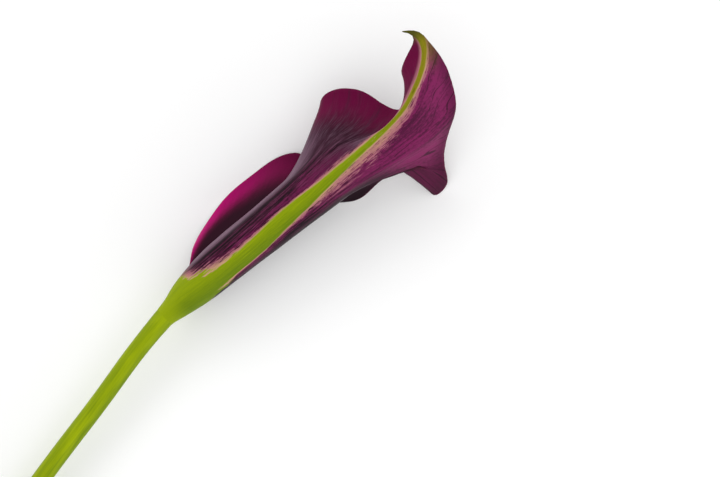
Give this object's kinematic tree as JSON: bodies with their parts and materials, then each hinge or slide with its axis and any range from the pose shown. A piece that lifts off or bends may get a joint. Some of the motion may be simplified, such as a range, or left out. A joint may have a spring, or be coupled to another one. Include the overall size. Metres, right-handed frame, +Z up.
{
  "type": "calla lily flower",
  "caption": "Cut calla lily flower with a green stem and a dark plum, green-ribbed spathe rolled around its spadix, lying with the mouth down",
  "frame": {"origin": "middle of the bounding box's underside, on the surface the flower lies on", "axes": "+X from the cut end of the stem to the tip of the flower, +Y to the flower's left seen from above, +Z up"},
  "size_m": [0.2764, 0.059, 0.0379],
  "materials": {
    "stem": "smooth, softly glossy green plant tissue",
    "spathe": "satin petal tissue, plum with a green midrib and veined streaks",
    "spadix": "matte, packed with small florets"
  },
  "bodies": {
    "root": {"stem": "stem", "spathe": "spathe", "spadix": "spadix"}
  },
  "joints": []
}
